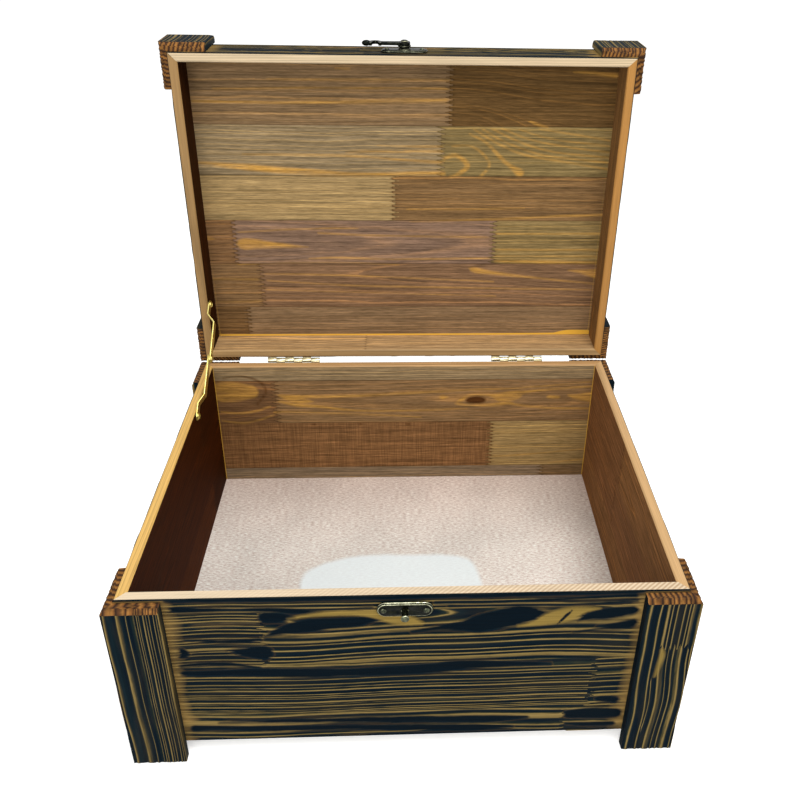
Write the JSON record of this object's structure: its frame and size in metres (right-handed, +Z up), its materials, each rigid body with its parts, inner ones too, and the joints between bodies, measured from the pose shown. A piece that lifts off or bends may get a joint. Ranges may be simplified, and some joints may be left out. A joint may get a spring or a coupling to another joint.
{
  "type": "wooden chest",
  "caption": "Wooden storage chest with hinged lid, raised corner plates that form feet, swing latch and folding lid stay, shown with the lid open.",
  "frame": {"origin": "centre of the bounding box on the floor, with the lid open", "axes": "+X to the right, +Y to the back, +Z up; the latch is at the front"},
  "size_m": [0.4, 0.3442, 0.4628],
  "materials": {
    "scorched_pine": "brushed and flamed softwood, oiled",
    "scorched_plate": "brushed and flamed softwood, end grain stained brown",
    "lid_pine": "stained softwood, satin",
    "plywood": "bare plywood",
    "hinge_steel": "brass-plated steel",
    "latch_bronze": "antique bronze plating",
    "stay_brass": "brass-plated steel, bright"
  },
  "bodies": {
    "case": {"front_wall": "scorched_pine", "right_wall": "scorched_pine", "back_wall": "scorched_pine", "left_wall": "scorched_pine", "bottom_panel": "plywood", "case_plate_front_left": "scorched_plate", "case_plate_front_right": "scorched_plate", "case_plate_right_front": "scorched_plate", "case_plate_right_back": "scorched_plate", "case_plate_back_right": "scorched_plate", "case_plate_back_left": "scorched_plate", "case_plate_left_back": "scorched_plate", "case_plate_left_front": "scorched_plate", "hinge_left_case_leaf": "hinge_steel", "hinge_left_pin": "hinge_steel", "hinge_right_case_leaf": "hinge_steel", "hinge_right_pin": "hinge_steel", "case_leaf_screws": "hinge_steel", "keeper_plate": "latch_bronze", "keeper_stud": "latch_bronze", "keeper_screws": "latch_bronze", "stay_case_screw": "stay_brass"},
    "lid": {"lid_front_rail": "lid_pine", "lid_right_rail": "lid_pine", "lid_back_rail": "lid_pine", "lid_left_rail": "lid_pine", "lid_top": "lid_pine", "lid_plate_front_left": "scorched_plate", "lid_plate_front_right": "scorched_plate", "lid_plate_right_front": "scorched_plate", "lid_plate_right_back": "scorched_plate", "lid_plate_back_right": "scorched_plate", "lid_plate_back_left": "scorched_plate", "lid_plate_left_back": "scorched_plate", "lid_plate_left_front": "scorched_plate", "hinge_left_lid_leaf": "hinge_steel", "hinge_right_lid_leaf": "hinge_steel", "lid_leaf_screws": "hinge_steel", "latch_plate": "latch_bronze", "latch_rivet": "latch_bronze", "latch_screws": "latch_bronze", "stay_lid_screw": "stay_brass"},
    "latch": {"latch_lever": "latch_bronze"},
    "stay_lower": {"stay_lower_arm": "stay_brass"},
    "stay_upper": {"stay_upper_arm": "stay_brass", "stay_elbow_rivet": "stay_brass"}
  },
  "joints": [
    {"name": "lid_hinge", "type": "hinge", "parent": "case", "child": "lid", "pos_m": [0, 0.1309, 0.1602], "axis": [1, 0, 0], "range_deg": [0, 90]},
    {"name": "latch_pivot", "type": "hinge", "parent": "lid", "child": "latch", "pos_m": [-0.001, 0.1429, 0.4586], "axis": [0, 0, 1], "range_deg": [-90, 90]},
    {"name": "stay_case_pivot", "type": "hinge", "parent": "case", "child": "stay_lower", "pos_m": [-0.1836, 0.0484, 0.1547], "axis": [1, 0, 0], "range_deg": [-90.9, 0.2]},
    {"name": "stay_lid_pivot", "type": "hinge", "parent": "lid", "child": "stay_upper", "pos_m": [-0.1836, 0.1351, 0.2196], "axis": [1, 0, 0], "range_deg": [-27.6, 0.2]}
  ],
  "couplings": [
    {"joint": "stay_case_pivot", "follows": "lid_hinge", "ratio": -1.0074},
    {"joint": "stay_lid_pivot", "follows": "lid_hinge", "ratio": -0.30461}
  ]
}
